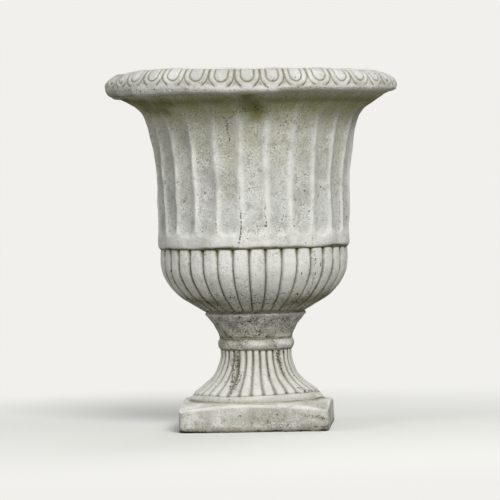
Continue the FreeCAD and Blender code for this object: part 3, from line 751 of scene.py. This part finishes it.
# The collar is patched: pale wear beside grey dirt
collar_stone = cast_stone("cast stone, patchy", "#C3C2BA", "#9B998F", "#7C785C", grain=2.4, speckle=0.75,
                          blotch=0.5, mottle=10, hole_gap=5)
# The reeds catch the light: near white with brown-olive dirt between them, and painted shade between their
# noses
foot_stone = cast_stone("cast stone, pale", "#D6D5CF", "#C6C4BB", "#86816A", "#6C6650", grain=2.2,
                        speckle=0.45, blotch=0.25, hole_gap=6)
# The plinth gets the splashes: even and warm, with darker clouds toward the ground
plinth_stone = cast_stone("cast stone, splashed", "#DAD9D2", "#C1BFB5", "#7E7A64", "#5A5340", grain=2.3,
                          speckle=0.46, blotch=0.5, mottle=22, hole_gap=5)
# Old lime mortar has gone olive and grainy, so a joint reads as a dirty line and not as a gap
dark_mortar = cast_stone("lime mortar, mossy", "#7A7652", "#5E5838", "#4A4828", grain=1.8, speckle=0.6,
                         mottle=9, hole_gap=4)
grey_mortar = cast_stone("lime mortar, dirty", "#9C9784", "#6F6950", "#4C4930", grain=2.2, speckle=0.7,
                         mottle=9, hole_gap=4)
pale_mortar = cast_stone("lime mortar, flush", "#BDB9A8", "#A29D88", "#857C60", grain=1.8, speckle=0.4)

rim = ring("stone_rim", sector("egg and dart", RIM_LOOP, EGGS, 34, carve_rim), rim_stone, EGGS, EGG_PHASE,
           seed=18, swell_depth=1.4, swell_size=45, grain_depth=0.6, grain_size=4, pit_depth=0.7,
           warp_depth=3)
weather(rim, {"crust": [
    # On the lower edge, and thinly on the right end
    ((-75, 424.5), (-30, 424), 2.6, 0.42),
    ((-26, 424.5), (-8, 423), 2.2, 0.36),
    ((-8, 423.5), (80, 424), 2.4, 0.4),
    ((12, 428), (70, 428), 3, 0.2),
    ((60, 432), (80, 436), 9, 0.24),
], "hollow": [
    # Painted shade, with dirt, under the lip at its left end
    ((-90, 420), (-68, 419), 6, 0.55),
], "crest": [
    # The eggs at both sides are paler, and the foot of the lip on the right gets a painted highlight
    ((-95, 436), (-60, 434), 16, 0.7),
    ((-60, 436), (-26, 437), 15, 0.75),
    ((22, 437), (80, 436), 15, 0.75),
    ((14, 427), (80, 427), 4, 0.6),
]}, [
    # The lower edge is worn and swollen in turn
    ((-24, 422), (-10, 421), 4, -1.2),
    ((-52, 421), (-42, 421), 4, -1),
    ((12, 422), (26, 423), 4, 1),
    # Chips, and rounder corners at both ends
    ((-60, 449), (-56, 449.5), 5, 1.5),
    ((-100, 421), (-55, 421), 5, 1.5),
    ((-110, 447), (-66, 447), 11, 3),
    ((72, 447), (110, 447), 9, 2.4),
], [
    # The left half is lifted, less so at its top
    ((-95, 436), (-42, 436), 72, 0, 4.6, 420, 428),
    ((-95, 449), (-42, 449), 72, 0, -1.6, 434, 448),
    # The eggs right of the middle stand further left, and the top drops at the right end
    ((24, 436), (62, 436), 42, -4.8, 0, 421, 424),
    ((50, 449), (85, 449), 40, 0, -2.2, 434, 449),
    # The lower edge sags at the front and rises at the right end
    ((-6, 424), (8, 424), 15, 0, -1.9, 432, 425),
    ((78, 421), (100, 421), 16, 0, 2.2, 426, 421),
], beyond=142)
dress(rim, "rim_stone", "egg_and_dart_rim")

bell = ring("stone_bell", sector("flute", BELL_LOOP, FLUTES, 22, carve_bell), bell_stone, FLUTES, FLUTE_PHASE,
            seed=20, swell_depth=2.2, swell_size=50, grain_depth=0.8, grain_size=5, pit_depth=0.8,
            pit_size=6, warp_depth=6.5, warp_size=46)
weather(bell, {"stain": [
    # In the shelter of the lip
    ((-1, 411), (2.6, 397), 16, 1),
    # The run under the forked crack
    ((-12, 389), (-14.5, 330), 8, 0.36),
    ((-15, 330), (-16, 290), 7, 0.26),
], "hollow": [
    # Dirt and painted shade in the shelter of the lip, darkest at the front
    ((-2, 412), (3, 401), 13, 0.64),
    ((-84, 414), (-52, 413), 4, 0.8),
    ((-72, 409), (-40, 410), 6, 0.72),
    ((-72, 404), (-48, 402), 8, 0.62),
    ((-40, 410), (-8, 411), 4.5, 0.5),
], "crust": [
    # On the flare
    ((-80, 414), (-20, 415), 4, 0.3),
    ((-66, 405), (-48, 400), 8, 0.34),
    ((-40, 372), (-25, 392), 9, 0.36),
    ((-4, 405), (-3, 398), 6, 0.46),
    ((2.2, 406), (2.6, 400), 6, 0.54),
    ((14, 390), (40, 375), 9, 0.34),
    ((24, 410), (60, 410), 5, 0.22),
    # A forked crack below the flare, and the run under it
    ((-15.7, 394), (-13.6, 387), 1.2, 0.8),
    ((-8.4, 395), (-13.6, 387), 1.2, 0.7),
    ((-13.6, 387), (-13.9, 376), 1.2, 0.84),
    ((-13.9, 376), (-12.8, 360), 1.2, 0.62),
    ((-12, 385), (-14.5, 330), 6, 0.3),
    # A long crack down to the foot of the band
    ((-7.9, 300), (-7.6, 276), 1.2, 0.58),
    ((-7.6, 276), (-7, 262), 1.2, 0.84),
    ((-7, 262), (-7.8, 244), 1.2, 0.86),
    ((-7.8, 244), (-9.2, 231), 1.2, 0.74),
    # Short cracks
    ((-22.9, 270), (-22.3, 258), 1, 0.75),
    ((-22.3, 258), (-21.6, 246), 1, 0.75),
    ((6.6, 272), (7.4, 262), 1, 0.75),
    ((7.4, 262), (7.1, 257), 1, 0.75),
    ((1, 256.2), (6.8, 256), 1.1, 0.66),
    ((9, 359), (8.7, 343), 0.9, 0.6),
    ((37.7, 258), (36.7, 236), 1.8, 0.42),
    ((55.8, 289), (54.6, 273), 1, 0.8),
    # Pits
    ((-35, 297), (-34.8, 296.6), 1.2, 0.9),
    ((6.9, 256), (7.6, 255.8), 1.5, 1),
    ((13.3, 352), (13.5, 351), 1.6, 1),
    ((28.4, 300.4), (28.6, 300), 1.2, 0.9),
    ((32.7, 299), (32.9, 298.6), 1.4, 1),
    # Lichen, and a veil of specks over the foot of the bell
    ((26, 288), (28, 285), 4.5, 0.5),
    ((45.5, 304), (48, 301), 4, 0.56),
    ((-80, 245), (80, 245), 30, 0.15),
], "crest": [
    ((45, 308), (50, 306), 4, 0.6),
    ((40, 378), (43, 335), 9, 0.4),
]}, [
    # The long crack and one pit are open
    ((-7.3, 276), (-8.2, 258), 1.2, 0.25),
    ((-8.2, 258), (-7.5, 240), 1.2, 0.25),
    ((6.9, 256), (7.6, 256), 1.8, 0.8),
    # The flare is worn at both ends and the band at the right, where the wall is a little fuller
    ((-104, 410), (-72, 410), 15, 3.2),
    ((92, 300), (92, 350), 40, -2),
    ((92, 402), (92, 412), 14, 1.8),
    ((88, 250), (88, 229), 14, 2.2),
])
dress(bell, "bell_stone", "fluted_bell")

bowl = ring("stone_bowl", sector("gadroon", BOWL_LOOP, GADROONS, 16, carve_bowl), bowl_stone, GADROONS,
            GADROON_PHASE, seed=22, swell_depth=1.2, swell_size=36, grain_depth=0.5, grain_size=4.5,
            pit_depth=0.8, warp_depth=2.6, warp_size=34)
weather(bowl, {"crust": [
    # A dark run down the right side, and a coat round the lower half
    ((39, 224), (42, 172), 5, 0.46),
    ((42, 172), (42, 154), 7, 0.55),
    ((-70, 172), (70, 172), 9, 0.28),
    ((-75, 167), (-30, 160), 10, 0.5),
    ((-50, 164), (-34, 158), 3, 0.6),
    ((-5, 160), (14, 159.5), 1.6, 0.6),
    ((32, 161), (44, 157), 2.4, 0.62),
    # Pits and short scratches
    ((-63.8, 201.8), (-63.6, 200.8), 1.8, 1),
    ((-30, 172), (-22, 171), 1.4, 0.58),
    ((-19.5, 168.1), (-15.5, 167.9), 0.7, 0.75),
    ((3, 183), (9, 182), 1.2, 0.52),
    ((18, 171), (26, 172), 1.4, 0.56),
    ((29.8, 197), (30.1, 195), 1.2, 0.9),
    ((32, 170.2), (32.6, 169.4), 1.8, 1),
    ((44.2, 208.5), (44.4, 205), 1.5, 1),
], "stain": [
    ((-75, 166), (-30, 159), 10, 0.66),
    ((30, 159), (75, 166), 10, 0.85),
], "crest": [
    # A painted highlight low on the front, where the bowl turns down
    ((-12, 168), (12, 168), 14, 0.42),
], "hollow": [
    # The grooves at both sides are darker than those in front: dirt, with painted shade where the sides turn
    # from the light
    *(((turn, 212), (turn, 151), 1.8, 0.92)
      for turn in (-83.2, -73.2, -63.2, -53.2, -43.2, 46.8, 56.8, 66.8, 76.8)),
]}, [
    ((39, 222), (42, 172), 4, 0.7),
    ((32, 170.2), (32.6, 169.4), 1.8, 0.9),
])
dress(bowl, "bowl_stone", "gadrooned_bowl")

neck = ring("stone_neck", sector("neck", NECK_LOOP, PLAIN_SECTORS, 28, carve_neck), neck_stone, seed=24,
            swell_depth=1.2, swell_size=18, grain_depth=1.2, grain_size=3.6, pit_depth=1.6)
weather(neck, {"crust": [
    # Along both joints, and a veil between them
    ((-70, 146), (70, 146), 0.9, 0.5),
    ((-70, 115.4), (70, 115.4), 1.4, 0.4),
    ((-70, 130), (70, 130), 16, 0.24),
    # Pits
    ((-45, 117), (-44, 116.4), 1.5, 1),
    ((-20, 142.5), (-16, 141.5), 1.4, 0.75),
    ((-8.6, 135.8), (-7, 135.4), 1.5, 1),
    ((4.2, 134.2), (4.8, 133.8), 0.9, 0.9),
    ((17, 115.8), (18.6, 115), 1.6, 1),
    ((20, 143), (24, 142.5), 1.6, 0.75),
], "crest": [
    # The upper edge is pale, and so are spots below it
    ((-30, 143.4), (-6, 143.2), 2.2, 1),
    ((4, 143.2), (26, 143.4), 2.2, 1),
    ((-50, 128), (-40, 124), 3.5, 0.5),
    ((10, 125), (14, 122), 3, 0.5),
    ((34, 116), (66, 116.5), 2.6, 0.8),
]}, [
    ((-8.6, 135.8), (-7, 135.4), 1.8, 1.2),
    ((17, 115.8), (18.6, 115), 1.6, 1),
])
dress(neck, "neck_stone", "cavetto_neck")

collar = ring("stone_collar", sector("collar", COLLAR_LOOP, PLAIN_SECTORS, 28, plain), collar_stone,
              seed=26, swell_depth=1.4, swell_size=16, grain_depth=0.7, grain_size=3.6, pit_depth=0.8)
weather(collar, {"crust": [
    # Along the lower joint, over the left, and a veil all round
    ((-60, 100.2), (70, 100.2), 1, 0.55),
    ((-58, 110), (-22, 104), 5, 0.46),
    ((-60, 106), (60, 106), 9, 0.26),
    # Cracks
    ((-22, 112), (-25, 104), 0.9, 0.66),
    ((26, 113), (29, 107), 0.9, 0.66),
    ((27, 112), (33, 101), 3, 0.5),
], "stain": [
    ((-70, 112.8), (70, 112.8), 1.8, 0.8),
], "hollow": [
    ((-60, 113), (-26, 113), 2.2, 0.55),
], "crest": [
    ((-17, 106), (15, 107), 4, 0.55),
    ((40, 109), (66, 107), 4.5, 0.8),
]})
dress(collar, "neck_stone", "collar_ring")

foot = ring("stone_foot", sector("reed", FOOT_LOOP, REEDS, 16, carve_foot), foot_stone, REEDS, REED_PHASE,
            seed=28, swell_depth=1, swell_size=25, grain_depth=0.45, grain_size=3.5, pit_depth=0.7,
            pit_size=4, warp_depth=2.6, warp_size=26)
weather(foot, {"stain": [
    ((-36, 98), (-24, 56), 6.5, 0.95),
    ((36, 98), (39, 66), 5.5, 0.9),
    ((-60, 40), (60, 40), 4, 0.42),
], "crust": [
    # Two runs down the left side, with a crack in each
    ((-35, 98), (-32, 82), 7, 0.58),
    ((-32, 82), (-24, 68), 6.5, 0.6),
    ((-24, 68), (-24, 56), 6, 0.56),
    ((-24, 56), (-25.5, 48), 3, 0.52),
    ((-33, 96), (-25, 70), 1.6, 0.74),
    ((-46, 90), (-35, 72), 5, 0.54),
    ((-35, 72), (-27, 50), 5, 0.54),
    ((-41, 88), (-30, 56), 1.6, 0.74),
    # One down the right side
    ((36, 98), (38, 80), 6.5, 0.58),
    ((38, 80), (40, 70), 4, 0.58),
    ((35, 96), (38, 78), 1.4, 0.85),
    ((39.4, 70), (38, 58), 1.4, 0.75),
    # In single grooves, at the disc and along the upper joint
    ((-50.6, 95), (-50.6, 74), 2, 0.55),
    ((-5.6, 97), (-5.6, 86), 1.2, 0.6),
    ((16.9, 84), (16.9, 64), 1.2, 0.62),
    ((49.5, 96.5), (50, 94), 2.4, 1),
    ((44, 52), (56, 47), 3, 0.62),
    ((-60, 98.4), (70, 98.4), 1.2, 0.5),
]}, [
    # The right end is worn
    ((72, 60), (112, 60), 20, 1.5),
    ((68, 41), (112, 41), 9, 1.4),
], [
    # The disc sags on the left
    ((-95, 46), (-12, 46), 28, 0, -1.7, 38, 44),
])
dress(foot, "foot_stone", "reeded_foot")

plinth = ring("stone_plinth", plinth_mesh(), plinth_stone, 4, seed=30, swell_depth=2.2, swell_size=42,
              grain_depth=0.7, grain_size=4, pit_depth=0.8, pit_size=6)
weather(plinth, {"crust": [
    # Along the lower edge
    ((-60, 6), (70, 6), 9, 0.36),
    ((-50, 3), (-36, 2), 2.5, 0.6),
    ((36, 5), (45, 6), 4.5, 0.55),
    # Toward the right corner
    ((28, 22), (42, 14), 3.5, 0.46),
    ((37, 19), (40, 16), 2.6, 0.62),
    # Pits
    ((-13.9, 20.7), (-13.1, 20.4), 1.3, 0.9),
    ((-0.5, 2.4), (0.3, 2.2), 1.5, 1),
    ((7, 13), (9.5, 11), 3, 0.55),
], "stain": [
    # Along the lower edge
    ((-52, 3), (-20, 1), 3, 0.8),
    ((30, 6), (41, 2), 7, 0.6),
    # Clouds on the front, and toward the right corner and round it
    ((-14, 16), (16, 20), 10, 0.42),
    ((28, 24), (40, 14), 3, 0.35),
    ((45, 28), (62, 10), 16, 0.62),
]}, [
    # The two front corners
    ((-48.5, 27), (-48.5, 22), 6, 1.8),
    ((-48.5, 30), (-48.5, 2), 6, 2.4),
    ((41.5, 30), (41.5, 28), 7, 2),
    ((39.5, 0), (43, 3), 4, 2.8),
    # Chips along the front's lower edge
    ((-33, 0), (-29, 0), 5, 1.3),
    ((8, 0), (16, 0), 6, 1.5),
    ((28, 0), (33, 1), 4, 1.6),
    ((-48, 1), (-38, 0), 3, 1.4),
    # The two back corners
    ((131.5, 30), (131.5, 20), 7, 2.5),
    ((-138.5, 6), (-138.5, 1), 8, 2.5),
], [
    # The back left corner stands higher
    ((-140, 30), (-106, 33), 36, 0, 3.4, 18, 30),
], beyond=84)
dress(plinth, "foot_stone", "plinth")

for name, node_name, inner, outer, bottom, top, mortar, seed in (
    ("joint_plinth", "mortar_on_plinth", 14.5, 85.6, 33, 36.4, pale_mortar, 32),
    ("joint_under_collar", "mortar_under_collar", 14.5, 45.6, 98.6, 100.2, grey_mortar, 34),
    ("joint_on_collar", "mortar_on_collar", 14.5, 46.4, 112.8, 114.8, grey_mortar, 36),
    ("joint_under_bowl", "mortar_under_bowl", 14.5, 63.2, 145.6, 147.8, grey_mortar, 38),
    ("joint_under_bell", "mortar_under_bell", 96, 119.8, 227.9, 229.6, dark_mortar, 40),
    ("joint_under_rim", "mortar_under_rim", 142.5, 169, 420.4, 422.3, pale_mortar, 42),
):
    bed = sector(name, joint_loop(inner, outer, bottom, top), PLAIN_SECTORS, 30, plain)
    joint = ring(name, bed, mortar, seed=seed, swell_depth=1, swell_size=7)
    dress(joint, "lime_mortar", node_name)

steel = drawn_steel()
for node_name in ("foot_dowels", "stem_dowels", "bowl_dowels"):
    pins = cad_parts[node_name]
    pins.data.materials.clear()
    pins.data.materials.append(steel)
